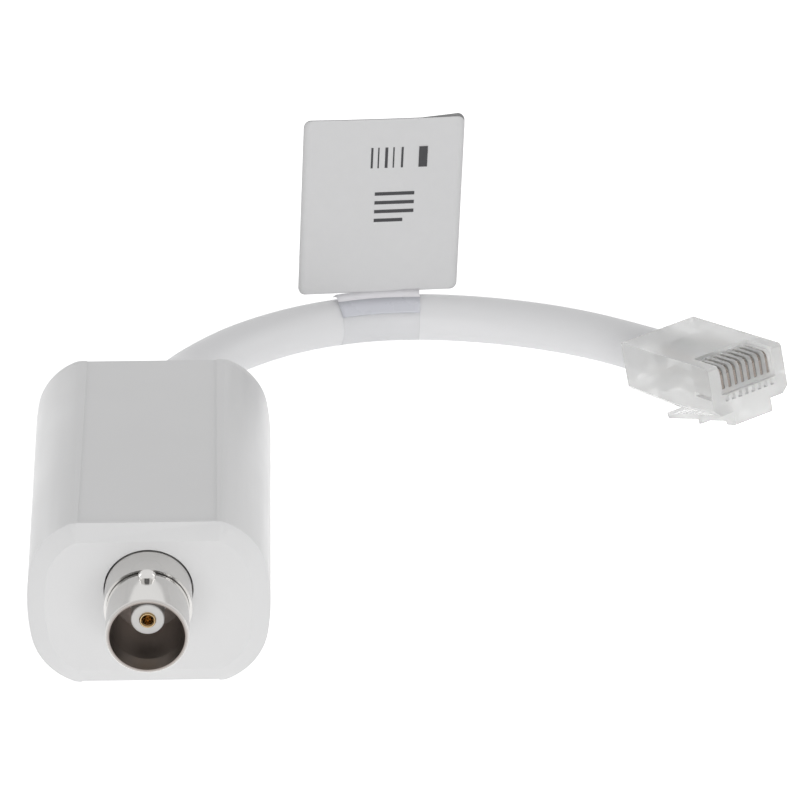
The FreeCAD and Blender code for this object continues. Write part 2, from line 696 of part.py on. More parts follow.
def add_latch(body, length):
    """The latch under the plug: hook at the nose, thin spring, two locking shoulders and the lever."""
    shoulder = 12.3
    spring = new_sketch(body, "XZ_Plane", "latch_spring")
    outline(spring, [
        (length, NOSE_LOW + 0.1), (length, -4.8), (length - 0.3, -5.05), (length - 2.1, -5.35),
        (length - 2.4, -4.9), (shoulder + 1.0, -5.95), (shoulder + 0.7, -6.5), (shoulder, -6.7),
        (shoulder, -5.4), (length - 2.7, -4.05), (length - 2.4, NOSE_LOW + 0.1),
    ])
    pad(body, spring, 5.9, both_sides=True)
    lever = new_sketch(body, "XZ_Plane", "latch_lever")
    outline(lever, [
        (shoulder + 0.1, -6.5), (shoulder + 0.1, -5.8), (3.4, -7.45), (2.4, -7.5), (2.2, -7.75),
        (2.4, -8.3), (2.9, -8.25),
    ])
    pad(body, lever, 3.2, both_sides=True)


def make_plug_body():
    """One clear moulding: cable mouth, wire channel, ribs between the contacts, ledges and the latch."""
    body = new_body("plug_body")
    length = size["plug_length"]
    side = new_sketch(body, "XZ_Plane", "plug_side")
    outline(side, [
        (0, -3.5), (11.0, -3.8), (length, NOSE_LOW), (length, TOP - 0.3), (length - 0.3, TOP),
        (0.8, TOP), (0, TOP - 0.3),
    ])
    pad(body, side, "Sizes.plug_width", both_sides=True)

    def long_low_edge(edge):
        box = edge.BoundBox
        return box.YLength < 1e-6 and box.ZMax < NOSE_LOW + 1e-6 and box.XLength > 1

    def rear_corner(edge):
        box = edge.BoundBox
        return box.XMax < 0.01 and box.ZLength > 4

    dress("Chamfer", body, long_low_edge, 0.9)
    dress("Chamfer", body, rear_corner, 0.6)

    mouth = new_sketch(body, "YZ_Plane", "cable_mouth")
    circle(mouth, "Sizes.cable_diameter + 0.1")
    pocket(body, mouth, PLUG_GRIP, reverse=True)
    fan = new_sketch(body, "YZ_Plane", "wire_fan", PLUG_GRIP)
    rectangle(fan, -4.5, -1.5, 9.0, 3.0)
    pocket(body, fan, 4.2, reverse=True)
    channel = new_sketch(body, "YZ_Plane", "wire_channel", PLUG_GRIP + 4.2)
    rectangle(channel, -4.2, WIRE_LEVEL - 0.55, 8.4, 1.1)
    pocket(body, channel, length - PLUG_GRIP - 4.2 - 0.9, reverse=True)

    top_field = new_sketch(body, "XY_Plane", "contact_field", TOP)
    rectangle(top_field, length - FIELD_LENGTH, -FIELD_WIDTH / 2, FIELD_LENGTH + 1, FIELD_WIDTH)
    pocket(body, top_field, TOP - RIB_TOP)
    nose_field = new_sketch(body, "YZ_Plane", "nose_field", "Sizes.plug_length")
    rectangle(nose_field, -FIELD_WIDTH / 2, SHELF, FIELD_WIDTH, TOP + 1 - SHELF)
    pocket(body, nose_field, 0.5)

    def rib_shoulder(edge):
        box = edge.BoundBox
        return box.YLength > FIELD_WIDTH - 0.01 and box.ZMin > RIB_TOP - 0.01 and box.XMin > length - 0.51

    dress("Fillet", body, rib_shoulder, 0.8)

    first = "-Sizes.contact_pitch * 3.5"
    row = "Sizes.contact_pitch * 7"
    slot = new_sketch(body, "XY_Plane", "contact_slot", RIB_TOP)
    rectangle(slot, length - FIELD_LENGTH + 0.15, f"{first} - 0.23", FIELD_LENGTH + 1, 0.46)
    cut = pocket(body, slot, RIB_TOP - BLADE_LOW)
    repeat(body, cut, slot, "V_Axis", row, WIRES, "contact_slots")
    window = new_sketch(body, "YZ_Plane", "nose_window", "Sizes.plug_length")
    rectangle(window, f"{first} - 0.3", SHELF - 1.0, 0.6, 0.85)
    cut = pocket(body, window, 0.7)
    repeat(body, cut, window, "H_Axis", row, WIRES, "nose_windows")

    ledge = new_sketch(body, "XZ_Plane", "side_ledge", "Sizes.plug_width / 2")
    rectangle(ledge, length - 4.0, -0.75, 3.7, 0.65)
    near = pocket(body, ledge, 0.7)
    mirrored = body.newObject("PartDesign::Mirrored", "side_ledges")
    mirrored.Originals = [near]
    mirrored.MirrorPlane = (origin_plane(body, "XZ_Plane"), [""])
    body.Tip = mirrored

    grip = new_sketch(body, "XY_Plane", "strain_relief_window", -5.0)
    rectangle(grip, 2.2, -2.6, 3.4, 5.2)
    pocket(body, grip, 3.5, reverse=True)
    add_latch(body, length)
    body.Placement = plug_place()
    return body


def make_plug_contacts():
    """Eight blades with a round shoulder at the nose."""
    back = size["plug_length"] - FIELD_LENGTH + 0.25
    front = size["plug_length"] - 0.6
    radius = 0.85
    for index in range(WIRES):
        body = new_body(f"plug_contact_{index + 1}")
        side = new_sketch(body, "XZ_Plane", f"blade_{index + 1}")
        outline(side, [(back, BLADE_LOW), (front, BLADE_LOW), (front, BLADE_TOP), (back, BLADE_TOP)])
        pad(body, side, "Sizes.blade_thickness", both_sides=True)
        dress(
            "Fillet", body,
            lambda edge: edge.BoundBox.XMin > front - 1e-6 and edge.BoundBox.ZMin > BLADE_TOP - 1e-6, radius,
        )
        across = (index - (WIRES - 1) / 2) * size["contact_pitch"]
        body.Placement = plug_place() * Placement(Vector(0, across, 0), Rotation())


def make_plug_wires():
    """The eight conductors, from the end of the jacket into the flat row under the contacts."""
    place = plug_place()
    pair_gap = 1.2
    row_end = size["plug_length"] - 1.1
    for index in range(WIRES):
        upper = index % 2
        y = (index // 2 - 1.5) * 1.5
        z = (upper - 0.5) * pair_gap
        across = (index - (WIRES - 1) / 2) * size["contact_pitch"]
        local = [
            (PLUG_GRIP, y, z), (PLUG_GRIP + 0.6, y, z), (PLUG_GRIP + 2.2, across, z),
            (PLUG_GRIP + 3.9, across, WIRE_LEVEL), (row_end, across, WIRE_LEVEL),
        ]
        points = [tuple(place.multVec(Vector(*point))) for point in local]
        conductor(f"plug_wire_{index + 1}", points)


# Cable and its label

def make_cable():
    return tube("cable_jacket", route_wire(ROUTE, report=True), "Sizes.cable_diameter")


def label_stretch():
    """The piece of the route under the label: one bend and a little of the runs beside it."""
    edges = route_wire(ROUTE).OrderedEdges
    arc = edges[2 * LABEL_POINT - 1]
    start = arc.valueAt(arc.FirstParameter)
    end = arc.valueAt(arc.LastParameter)
    back = arc.tangentAt(arc.FirstParameter) * -1.1
    ahead = arc.tangentAt(arc.LastParameter) * 0.3
    before = Part.LineSegment(start + back, start).toShape()
    after = Part.LineSegment(end, end + ahead).toShape()
    return Part.Wire([before, arc, after])


def make_flag_label(jacket):
    """One folded sheet: a wrap round the cable, a neck and a leaf with round corners."""
    wrap = tube("label_wrap", label_stretch(), "Sizes.cable_diameter + Sizes.sheet_thickness")
    leaf = new_body("label_leaf")
    blank = new_sketch(leaf, "XZ_Plane", "leaf_blank")
    leaf_low = 4.05
    shift = 0.65
    rectangle(blank, f"-Sizes.leaf_width / 2 - {shift}", leaf_low, "Sizes.leaf_width", "Sizes.leaf_height")
    pad(leaf, blank, "Sizes.sheet_thickness", both_sides=True)
    dress("Fillet", leaf, lambda edge: edge.BoundBox.YLength > 0.1 and edge.BoundBox.ZLength < 0.1, 1.0)
    neck = new_sketch(leaf, "XZ_Plane", "label_neck")
    rectangle(neck, f"-Sizes.neck_width / 2 - {shift}", 0.0, "Sizes.neck_width", leaf_low + 0.5)
    pad(leaf, neck, "Sizes.sheet_thickness", both_sides=True)

    arc = label_stretch().OrderedEdges[1]
    middle = (arc.FirstParameter + arc.LastParameter) / 2
    along = arc.tangentAt(middle)
    across = Vector(0, 0, 1).cross(along)
    upright = Rotation(along, across, along.cross(across), "XYZ")
    leaf.Placement = Placement(arc.valueAt(middle), upright * Rotation(Vector(0, 1, 0), size["leaf_lean"]))

    sheet_solid = doc.addObject("Part::Fuse", "label_sheet")
    sheet_solid.Base = wrap
    sheet_solid.Tool = leaf
    label = doc.addObject("Part::Cut", "flag_label")
    label.Label = "flag_label"
    label.Base = sheet_solid
    label.Tool = jacket
    return label


# Build, check and write

HELPERS = ("label_wrap", "label_leaf", "label_sheet")

make_housing_shell()
make_rear_cover()
make_jack_shell()
make_jack_insulator()
make_jack_contact()
make_circuit_board()
make_components()
make_inner_leads()
make_cable_tie()
make_plug_body()
make_plug_contacts()
make_plug_wires()
cable = make_cable()
make_flag_label(cable)
doc.recompute()

failed = [item.Name for item in doc.Objects if "Invalid" in item.State or "Error" in item.State]
if failed:
    raise RuntimeError("failed objects: " + ", ".join(failed))

solids = [
    item for item in doc.Objects
    if item.TypeId in ("PartDesign::Body", "Part::Sweep", "Part::Cut") and item.Label not in HELPERS
]
os.makedirs("parts", exist_ok=True)
for item in solids:
    if item.Shape.isNull() or not item.Shape.isValid() or len(item.Shape.Solids) != 1:
        raise RuntimeError(item.Label + " isn't one valid solid")
for item in solids:
    item.Shape.exportStep(f"parts/{item.Label}.step")
print(len(solids), "sub-parts written")
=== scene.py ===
import math

import bpy
from bpy.props import FloatProperty, FloatVectorProperty, PointerProperty
from mathutils import Matrix, Quaternion, Vector


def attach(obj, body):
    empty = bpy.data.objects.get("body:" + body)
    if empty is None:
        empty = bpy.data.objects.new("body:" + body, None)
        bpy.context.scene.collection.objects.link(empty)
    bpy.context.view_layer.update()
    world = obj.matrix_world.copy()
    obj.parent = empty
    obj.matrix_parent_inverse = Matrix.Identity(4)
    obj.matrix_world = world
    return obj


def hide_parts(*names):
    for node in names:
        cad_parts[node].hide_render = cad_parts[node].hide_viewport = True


bl_info = {
    "name": "Ethernet over coax converter",
    "version": (1, 0, 0),
    "blender": (4, 5, 0),
    "location": "View3D > Sidebar > Converter",
    "description": "Dresses a small converter: housing, coaxial jack, cable with its label, and clear plug",
    "category": "Object",
}

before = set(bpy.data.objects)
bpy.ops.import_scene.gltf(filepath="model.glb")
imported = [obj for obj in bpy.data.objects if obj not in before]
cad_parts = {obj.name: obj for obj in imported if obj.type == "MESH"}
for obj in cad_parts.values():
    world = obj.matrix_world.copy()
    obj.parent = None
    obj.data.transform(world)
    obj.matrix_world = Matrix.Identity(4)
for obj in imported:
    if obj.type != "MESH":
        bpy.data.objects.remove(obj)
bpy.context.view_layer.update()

# The cable's route in metres: inside the housing, out through the cover, round to the plug
ROUTE = [
    (0.0, 0.0225, 0.0105), (0.0, 0.034, 0.0105), (0.0014, 0.0448, 0.0088), (0.0049, 0.0554, 0.0067),
    (0.0111, 0.0647, 0.0058), (0.0199, 0.0716, 0.0054), (0.0306, 0.0753, 0.0052),
    (0.0429, 0.0752, 0.0049), (0.0554, 0.0704, 0.0053), (0.065, 0.0612, 0.0067),
    (0.0702, 0.0514, 0.009),
]

# Which point of the route lies under the label
LABEL_POINT = 6

# The upright bars on the label (distance from the leaf's middle, width), with their height and middle
UPRIGHT_BARS = [
    (-0.0016, 0.0003), (-0.0007, 0.0002), (0.0004, 0.0004),
    (0.0014, 0.0002), (0.0026, 0.0003), (0.0055, 0.0012),
]
UPRIGHT_HEIGHT = 0.0030
UPRIGHT_MIDDLE = 0.0199

# The flat bars on the label (height above the leaf's foot, width), with their left end and thickness
FLAT_BARS = [(0.0146, 0.0055), (0.0133, 0.0055), (0.0120, 0.0055), (0.0107, 0.0040)]
FLAT_START = -0.0010
FLAT_THICKNESS = 0.0005

# Insulation colours, and the order of the conductors across the plug
INSULATION = {
    "white": (0.80, 0.80, 0.79),
    "orange": (0.76, 0.55, 0.42),
    "blue": (0.48, 0.55, 0.68),
    "green": (0.46, 0.61, 0.50),
    "brown": (0.53, 0.45, 0.40),
}
CONDUCTORS = ["white", "orange", "white", "blue", "white", "green", "white", "brown"]

# The camera: its place, the direction it is seen from and its lens in millimetres
CAMERA_PLACE = (0.010707, -0.46048, 0.24994)
CAMERA_AZIMUTH = math.radians(-2.43)
CAMERA_ELEVATION = math.radians(25.66)
CAMERA_ROLL = math.radians(0.341)
CAMERA_LENS = 191.516

# The lamps: name, place, width and height, power in watts
LAMPS = [
    ("left softbox", (-0.8, 0.6, 0.3), (0.4, 0.4), 1.2),
    ("right softbox", (0.8, 0.25, 0.25), (0.5, 0.4), 0.9),
    ("front softbox", (0.05, -0.95, 0.14), (0.7, 0.25), 2.6),
]
LAMP_TARGET = (0.02, 0.02, 0.01)

# How strongly the surroundings light the object, how much the light table glows on it, and how much
# brighter the table looks where it is seen directly
SURROUNDINGS_LIGHT = 0.53
TABLE_GLOW = 0.2
TABLE_SEEN = 0.52

# A noise's values lie mostly between these two
NOISE_LOW = 0.3
NOISE_HIGH = 0.7


def length(name, description, default):
    """A length in metres."""
    return FloatProperty(
        name=name, description=description, default=default, unit="LENGTH", subtype="DISTANCE",
    )


def tilt(name, description, default):
    """An angle, given in degrees."""
    return FloatProperty(name=name, description=description, default=math.radians(default), unit="ROTATION")


def colour(name, description, default):
    """A plain colour."""
    return FloatVectorProperty(
        name=name, description=description, default=default, size=3, min=0.0, max=1.0, subtype="COLOR",
    )


class ConverterSizes(bpy.types.PropertyGroup):
    """Sizes of the pieces that are built here."""

    cable: length("Cable", "Diameter of the round cable", 0.0064)
    cable_length: length("Cable length", "Length of the cable, from inside the cover to the plug", 0.117)
    leaf_width: length("Leaf width", "Width of the flag label's leaf", 0.0222)
    leaf_height: length("Leaf height", "Height of the flag label's leaf", 0.0255)
    leaf_low: length("Leaf foot", "Height of the leaf's lower edge above the cable's axis", 0.00405)
    leaf_shift: length("Leaf shift", "How far the leaf stands from the middle of its wrap", -0.00065)
    leaf_lean: tilt("Leaf lean", "How far the leaf leans along the cable", 1.0)
    leaf_corner: length("Leaf corner", "Radius of the leaf's corners", 0.001)
    band_width: length("Band width", "Width of the clear band round the cable", 0.0118)
    neck: length("Neck", "How far the paper goes on below the leaf, at the band's width", 0.0012)
    overlap: length("Overlap", "How far the band's second layer reaches, from the leaf's foot", 0.0036)
    leaf_curl: length("Leaf curl", "How far the leaf's upper corners bend away from the viewer", 0.00025)
    corner_lift: length("Corner lift", "How far the back layer's top right corner stands out", 0.0004)
    # Inside this radius the jack's metal is darkened, as painted shade in the bore's hollow
    bore: length("Bore", "Radius inside which the jack's metal is darkened as painted shade", 0.00442)
    barrel: length("Barrel", "Radius of the jack's barrel", 0.00485)
    jack_axis: length("Jack axis", "Height of the jack's axis above the floor", 0.0128)
    sheet: length("Sheet", "Thickness of one layer of the label", 0.00012)
    edge: length("Edge", "Rounding of the housing's moulded edges", 0.00016)
    plug_edge: length("Plug edge", "Rounding of the plug's moulded edges", 0.00012)


class ConverterColours(bpy.types.PropertyGroup):
    """Colours of the pieces."""

    housing: colour("Housing", "Moulded housing and cover", (0.80, 0.80, 0.803))
    cable: colour("Cable", "Cable jacket", (0.86, 0.86, 0.87))
    metal: colour("Jack metal", "Plated metal of the coaxial jack", (0.70, 0.69, 0.675))
    # The bore's colour is the metal darkened, as painted shade in the hollow
    bore: colour("Jack bore", "Darker metal in the jack's bore, painted shade", (0.28, 0.245, 0.225))
    gold: colour("Gold", "Plated centre contact of the jack", (0.78, 0.58, 0.32))
    # The contacts' plating colour is darkened to grey-brown, as painted shade for the slots they lie in
    contact: colour("Plug contacts", "Plug contacts, their plating darkened as painted shade of their slots", (0.30, 0.265, 0.24))
    insulator: colour("Insulator", "White insulator of the jack", (0.86, 0.86, 0.85))
    paper: colour("Paper", "Leaf of the flag label", (0.725, 0.725, 0.73))
    # The neck is the leaf's paper made lighter, as painted light against the shade the leaf casts on it
    neck: colour("Neck", "Paper below the leaf", (0.88, 0.87, 0.90))
    band: colour("Band", "Clear band of the flag label", (0.80, 0.81, 0.84))
    overlap: colour("Overlap", "Second layer of the band, below the leaf", (0.79, 0.80, 0.86))
    mark: colour("Mark", "Plain bars on the leaf", (0.045, 0.045, 0.05))
    plug: colour("Plug", "Clear plastic of the plug", (0.95, 0.95, 0.945))
    board: colour("Circuit board", "Solder mask of the board", (0.05, 0.22, 0.11))
    chip: colour("Chips", "Moulded bodies of the components", (0.04, 0.04, 0.043))
    can: colour("Cans", "Drawn cans of the capacitors and the crystal", (0.66, 0.67, 0.68))
    strap: colour("Strap", "Strap round the cable", (0.72, 0.71, 0.67))
    floor: colour("Floor", "Light table under the object", (0.85, 0.85, 0.85))


# Materials

def start_material(name):
    """A new material with one shader on its surface."""
    material = bpy.data.materials.new(name)
    material.use_nodes = True
    tree = material.node_tree
    tree.nodes.clear()
    output = tree.nodes.new("ShaderNodeOutputMaterial")
    shader = tree.nodes.new("ShaderNodeBsdfPrincipled")
    tree.links.new(shader.outputs["BSDF"], output.inputs["Surface"])
    return material, tree, shader


def grain(tree, scale, detail=3.0, stretch=(1.0, 1.0, 1.0)):
    """Fine noise in the object's own space; scale is the number of grains in a metre."""
    place = tree.nodes.new("ShaderNodeTexCoord")
    shape = tree.nodes.new("ShaderNodeMapping")
    shape.inputs["Scale"].default_value = stretch
    noise = tree.nodes.new("ShaderNodeTexNoise")
    noise.inputs["Scale"].default_value = scale
    noise.inputs["Detail"].default_value = detail
    tree.links.new(place.outputs["Object"], shape.inputs["Vector"])
    tree.links.new(shape.outputs["Vector"], noise.inputs["Vector"])
    return noise.outputs["Fac"]


def vary(tree, socket, source, low, high):
    """Spread a noise between two values into a socket."""
    spread = tree.nodes.new("ShaderNodeMapRange")
    spread.inputs["From Min"].default_value = NOISE_LOW
    spread.inputs["From Max"].default_value = NOISE_HIGH
    spread.inputs["To Min"].default_value = low
    spread.inputs["To Max"].default_value = high
    tree.links.new(source, spread.inputs["Value"])
    tree.links.new(spread.outputs["Result"], socket)


def tint(tree, shader, source, colour_value, depth):
    """Base colour that darkens a little with a noise."""
    blend = tree.nodes.new("ShaderNodeMix")
    blend.data_type = "RGBA"
    blend.inputs["A"].default_value = (*(part * (1.0 - depth) for part in colour_value), 1.0)
    blend.inputs["B"].default_value = (*colour_value, 1.0)
    tree.links.new(source, blend.inputs["Factor"])
    tree.links.new(blend.outputs["Result"], shader.inputs["Base Color"])


def emboss(tree, shader, source, height):
    """Relief of a noise, its height in metres."""
    relief = tree.nodes.new("ShaderNodeBump")
    relief.inputs["Distance"].default_value = height
    tree.links.new(source, relief.inputs["Height"])
    tree.links.new(relief.outputs["Normal"], shader.inputs["Normal"])


def moulded_plastic(name, colour_value, grains=2600.0, rough=(0.3, 0.38), relief=0.00001, depth=0.03):
    """Matt moulded plastic: faint clouding, fine spark-eroded grain. Relief is in metres."""
    material, tree, shader = start_material(name)
    tint(tree, shader, grain(tree, 90.0, 2.0), colour_value, depth)
    vary(tree, shader.inputs["Roughness"], grain(tree, 160.0), *rough)
    emboss(tree, shader, grain(tree, grains, 4.0), relief)
    shader.inputs["IOR"].default_value = 1.49
    return material


def turned_metal(name, colour_value, rough=(0.1, 0.17)):
    """Plated metal with faint turning marks round the jack's axis."""
    material, tree, shader = start_material(name)
    tint(tree, shader, grain(tree, 300.0), colour_value, 0.08)
    vary(tree, shader.inputs["Roughness"], grain(tree, 500.0, 4.0), *rough)
    emboss(tree, shader, grain(tree, 900.0, 2.0, (0.15, 6.0, 0.15)), 0.000002)
    shader.inputs["Metallic"].default_value = 1.0
    return material


def jack_metal(sizes, colours):
    """Plated metal outside, which fades over the rim to darker, rougher metal in the bore; the darker
    colour there is painted shade in the hollow.
    """
    bore_roughness = 0.36
    material = turned_metal("nickel plate", colours.metal)
    tree = material.node_tree
    shader = next(node for node in tree.nodes if node.type == "BSDF_PRINCIPLED")
    place = tree.nodes.new("ShaderNodeTexCoord")
    centred = tree.nodes.new("ShaderNodeMapping")
    centred.inputs["Location"].default_value = (0.0, 0.0, -sizes.jack_axis)
    centred.inputs["Scale"].default_value = (1.0, 0.0, 1.0)
    away = tree.nodes.new("ShaderNodeVectorMath")
    away.operation = "LENGTH"
    plating = tree.nodes.new("ShaderNodeMapRange")
    plating.inputs["From Min"].default_value = sizes.bore
    plating.inputs["From Max"].default_value = sizes.barrel
    tree.links.new(place.outputs["Object"], centred.inputs["Vector"])
    tree.links.new(centred.outputs["Vector"], away.inputs[0])
    tree.links.new(away.outputs["Value"], plating.inputs["Value"])
    # Inside the bore the colour turns darker, as painted shade in the hollow, and the metal turns rougher
    bore_shade_and_roughness = {"Base Color": (*colours.bore, 1.0), "Roughness": bore_roughness}
    for name, value in bore_shade_and_roughness.items():
        socket = shader.inputs[name]
        plated = socket.links[0].from_socket
        blend = tree.nodes.new("ShaderNodeMix")
        blend.data_type = "RGBA" if socket.type == "RGBA" else "FLOAT"
        bare, outer = [side for side in blend.inputs if side.enabled and side.name in ("A", "B")]
        bare.default_value = value
        tree.links.new(plating.outputs["Result"], blend.inputs["Factor"])
        tree.links.new(plated, outer)
        tree.links.new(next(side for side in blend.outputs if side.enabled), socket)
    return material


def plated_contact(name, colour_value):
    """Small stamped and plated contacts."""
    material, tree, shader = start_material(name)
    tint(tree, shader, grain(tree, 900.0), colour_value, 0.15)
    vary(tree, shader.inputs["Roughness"], grain(tree, 1500.0), 0.2, 0.32)
    emboss(tree, shader, grain(tree, 5000.0), 0.000003)
    shader.inputs["Metallic"].default_value = 1.0
    return material


def clear_plastic(name, colour_value):
    """Clear polycarbonate with faint flow marks."""
    material, tree, shader = start_material(name)
    tint(tree, shader, grain(tree, 120.0), colour_value, 0.02)
    vary(tree, shader.inputs["Roughness"], grain(tree, 400.0), 0.03, 0.07)
    emboss(tree, shader, grain(tree, 350.0, 2.0), 0.00002)
    shader.inputs["Transmission Weight"].default_value = 0.5
    shader.inputs["IOR"].default_value = 1.45
    shader.inputs["Alpha"].default_value = 0.85
    return material


def clear_film(name, colour_value, cover):
    """Thin tinted film, a little wavy."""
    material, tree, shader = start_material(name)
    tint(tree, shader, grain(tree, 200.0), colour_value, 0.04)
    vary(tree, shader.inputs["Roughness"], grain(tree, 350.0), 0.2, 0.34)
    emboss(tree, shader, grain(tree, 300.0, 2.0), 0.000008)
    shader.inputs["Alpha"].default_value = cover
    return material


def laminated_paper(name, colour_value):
    """Matt label paper with fine fibres."""
    material, tree, shader = start_material(name)
    tint(tree, shader, grain(tree, 700.0, 6.0), colour_value, 0.035)
    vary(tree, shader.inputs["Roughness"], grain(tree, 260.0), 0.5, 0.62)
    emboss(tree, shader, grain(tree, 4200.0, 5.0), 0.000008)
    return material


# Shapes

def join_scene(piece, body="root"):
    """Put a piece in the scene, on the part's body."""
    bpy.context.scene.collection.objects.link(piece)
    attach(piece, body)
    return piece


def mesh_piece(name, vertices, faces, material, smooth=True):
    """A new mesh object that rides on the part."""
    mesh = bpy.data.meshes.new(name)
    mesh.from_pydata(vertices, [], faces)
    mesh.update()
    mesh.polygons.foreach_set("use_smooth", [smooth] * len(mesh.polygons))
    mesh.materials.append(material)
    return join_scene(bpy.data.objects.new(name, mesh))


def add_tube(name, points, diameter, material):
    """A round piece along one smooth spline."""
    curve = bpy.data.curves.new(name, "CURVE")
    curve.dimensions = "3D"
    spline = curve.splines.new("NURBS")
    spline.points.add(len(points) - 1)
    for point, place in zip(spline.points, points):
        point.co = (*place, 1.0)
    spline.order_u = 3
    spline.use_endpoint_u = True
    curve.resolution_u = 16
    curve.bevel_depth = diameter / 2
    curve.bevel_resolution = 10
    curve.use_fill_caps = True
    curve.materials.append(material)
    return join_scene(bpy.data.objects.new(name, curve))


def centreline(cable):
    """The points of a cable's own line, read from its spline."""
    bare = cable.data.copy()
    bare.bevel_depth = 0.0
    probe = bpy.data.objects.new("centreline_probe", bare)
    bpy.context.scene.collection.objects.link(probe)
    depsgraph = bpy.context.evaluated_depsgraph_get()
    mesh = bpy.data.meshes.new_from_object(probe.evaluated_get(depsgraph))
    points = [vertex.co.copy() for vertex in mesh.vertices]
    bpy.data.objects.remove(probe)
    bpy.data.meshes.remove(mesh)
    bpy.data.curves.remove(bare)
    return points


def repaint(names, material):
    """Give CAD nodes a finished material."""
    for name in names:
        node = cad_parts[name]
        for slot in node.material_slots:
            slot.material = material


def soften_edges(name, width):
    """Round the moulded edges of a CAD node a little."""
    micrometre = 0.000001
    crease = math.radians(28)
    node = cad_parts[name]
    weld = node.modifiers.new("Weld", "WELD")
    weld.merge_threshold = micrometre
    bevel = node.modifiers.new("Edge rounding", "BEVEL")
    bevel.width = width
    bevel.segments = 3
    bevel.limit_method = "ANGLE"
    bevel.angle_limit = crease
    bevel.harden_normals = True


# Operators

class CONVERTER_OT_camera(bpy.types.Operator):
    """Place the camera at the photograph's angle"""

    bl_idname = "converter.camera"
    bl_label = "Camera"

    def execute(self, context):
        data = bpy.data.cameras.new("camera")
        data.lens = CAMERA_LENS
        data.sensor_width = 36.0
        data.clip_start = 0.01
        data.clip_end = 20.0
        camera = bpy.data.objects.new("camera", data)
        context.scene.collection.objects.link(camera)
        back = Vector((
            math.sin(CAMERA_AZIMUTH) * math.cos(CAMERA_ELEVATION),
            -math.cos(CAMERA_AZIMUTH) * math.cos(CAMERA_ELEVATION),
            math.sin(CAMERA_ELEVATION),
        ))
        camera.rotation_mode = "QUATERNION"
        camera.location = CAMERA_PLACE
        camera.rotation_quaternion = (-back).to_track_quat("-Z", "Y") @ Quaternion((0, 0, 1), CAMERA_ROLL)
        context.scene.camera = camera
        return {"FINISHED"}


class CONVERTER_OT_cable(bpy.types.Operator):
    """Lay the round cable along its route"""

    bl_idname = "converter.cable"
    bl_label = "Cable"

    def execute(self, context):
        sizes = context.scene.converter_sizes
        jacket = moulded_plastic(
            "cable vinyl", context.scene.converter_colours.cable,
            grains=1400.0, rough=(0.4, 0.5), relief=0.000012, depth=0.02,
        )
        cable = add_tube("network_cable", ROUTE, sizes.cable, jacket)
        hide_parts("cable_jacket")
        return {"FINISHED"}


class CONVERTER_OT_housing(bpy.types.Operator):
    """Finish the housing and its rear cover"""

    bl_idname = "converter.housing"
    bl_label = "Housing"

    def execute(self, context):
        plastic = moulded_plastic("housing plastic", context.scene.converter_colours.housing)
        repaint(["housing_shell", "rear_cover"], plastic)
        for name in ("housing_shell", "rear_cover"):
            soften_edges(name, context.scene.converter_sizes.edge)
        return {"FINISHED"}


class CONVERTER_OT_jack(bpy.types.Operator):
    """Finish the coaxial jack"""

    bl_idname = "converter.jack"
    bl_label = "Coaxial jack"

    def execute(self, context):
        colours = context.scene.converter_colours
        repaint(["bnc_shell"], jack_metal(context.scene.converter_sizes, colours))
        repaint(["bnc_center_contact"], plated_contact("gold plate", colours.gold))
        insulator = moulded_plastic(
            "insulator plastic", colours.insulator,
            grains=3000.0, rough=(0.3, 0.4), relief=0.000004, depth=0.02,
        )
        repaint(["bnc_insulator"], insulator)
        return {"FINISHED"}


def label_place(cable):
    """The label's own frame: X along the cable, Y away from the viewer, Z up the leaf."""
    points = centreline(cable)
    corner = Vector(ROUTE[LABEL_POINT])
    nearest = min(range(1, len(points) - 1), key=lambda index: (points[index] - corner).length)
    along = (points[nearest + 1] - points[nearest - 1]).normalized()
    across = Vector((0, 0, 1)).cross(along).normalized()
    up = along.cross(across)
    turn = Matrix((along, across, up)).transposed().to_4x4()
    return Matrix.Translation(points[nearest]) @ turn, points, nearest


def leaf_rows(width, height, corner):
    """(height, half width) of a leaf's rows, close together in the round corners."""
    steps = 6
    straight = 20
    rows = []
    for index in range(steps + 1):
        angle = math.pi / 2 * index / steps
        rows.append((corner * (1 - math.cos(angle)), width / 2 - corner * (1 - math.sin(angle))))
    pitch = (height - 2 * corner) / straight
    middle = [(corner + pitch * index, width / 2) for index in range(1, straight)]
    tops = [(height - up, half) for up, half in reversed(rows)]
    return rows + middle + tops


def leaf_foot(sizes, depth):
    """Where the leaf's lower edge stands in the label's own frame."""
    lean = Matrix.Rotation(sizes.leaf_lean, 4, "Y")
    return lean @ Matrix.Translation((sizes.leaf_shift, depth, sizes.leaf_low))


def add_leaf(name, place, sizes, material, depth, lift=0.0):
    """One layer of the leaf: a thin sheet with round corners and a slight curl."""
    columns = 24
    foot = leaf_foot(sizes, depth)
    rows = leaf_rows(sizes.leaf_width, sizes.leaf_height, sizes.leaf_corner)
    vertices = []
    for up, half in rows:
        share = up / sizes.leaf_height
        for column in range(columns + 1):
            side = 2 * column / columns - 1
            bow = sizes.leaf_curl * side * side * share
            rise = lift * max(0.0, 2 * side - 1) * share ** 4
            vertices.append(place @ foot @ Vector((side * half, bow, up + rise)))
    faces = []
    for row in range(len(rows) - 1):
        for column in range(columns):
            start = row * (columns + 1) + column
            faces.append((start, start + 1, start + columns + 2, start + columns + 1))
    leaf = mesh_piece(name, vertices, faces, material)
    layer = leaf.modifiers.new("Layer", "SOLIDIFY")
    layer.thickness = sizes.sheet
    layer.offset = 0.0
    return leaf


def wrap_section(sizes, layer):
    """A layer's outline across the cable: from the leaf's foot, round the cable and up again."""
    into_leaf = 0.0001
    radius = sizes.cable / 2 + layer * sizes.sheet
    foot = sizes.leaf_low + into_leaf
    leave = math.acos(radius / foot)
    steps = 36
    section = [(0.0, foot)]
    for index in range(steps + 1):
        angle = leave + 2 * (math.pi - leave) * index / steps
        section.append((-radius * math.sin(angle), radius * math.cos(angle)))
    section.append((0.0, foot))
    return section


